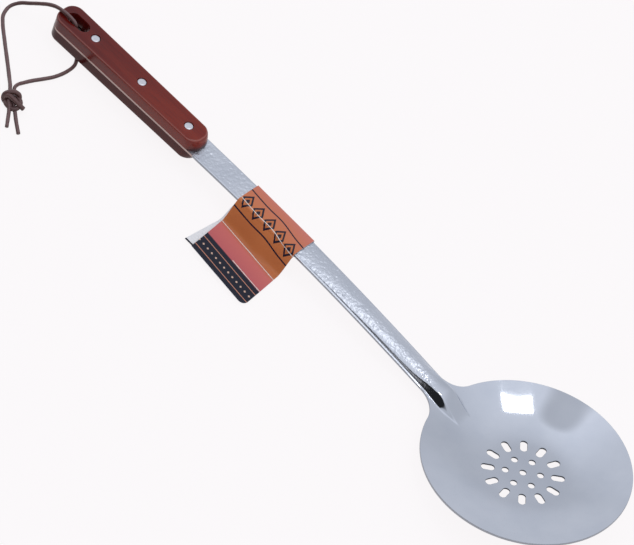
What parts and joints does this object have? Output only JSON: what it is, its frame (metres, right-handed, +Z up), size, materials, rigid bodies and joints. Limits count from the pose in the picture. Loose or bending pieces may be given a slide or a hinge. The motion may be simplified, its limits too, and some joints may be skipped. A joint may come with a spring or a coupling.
{
  "type": "skimmer",
  "caption": "Long-handled perforated steel skimmer with an arched shank, a riveted wooden handle, a knotted leather hang cord and a paper sleeve folded round the shank.",
  "frame": {"origin": "on the table that it lies on, under the middle of its length from the bowl's far rim to the handle's butt, in the plane of symmetry of the blade", "axes": "+X along the length from the handle to the bowl, +Z up from the table"},
  "size_m": [0.5022, 0.1493, 0.0306],
  "materials": {
    "steel": "polished bowl, hammered shank",
    "wood": "stained red-brown, satin lacquer",
    "rivet_metal": "turned flat and polished",
    "cord_leather": "round leather lace, dull",
    "label_paper": "coated gloss card"
  },
  "bodies": {
    "skimmer": {"skimmer_blade": "steel", "upper_scale": "wood", "lower_scale": "wood", "rivet_pin_front": "rivet_metal", "rivet_pin_middle": "rivet_metal", "rivet_pin_rear": "rivet_metal", "rivet_sleeve_front": "rivet_metal", "rivet_sleeve_middle": "rivet_metal", "rivet_sleeve_rear": "rivet_metal", "label_wrap": "label_paper"},
    "hang_cord": {"cord_upper_strand": "cord_leather", "cord_lower_strand": "cord_leather", "cord_knot": "cord_leather"}
  },
  "joints": [
    {"name": "cord_swing", "type": "hinge", "parent": "skimmer", "child": "hang_cord", "pos_m": [-0.2224, 0, 0.0115], "axis": [0, 0, 1], "range_deg": [-75, 45]}
  ]
}
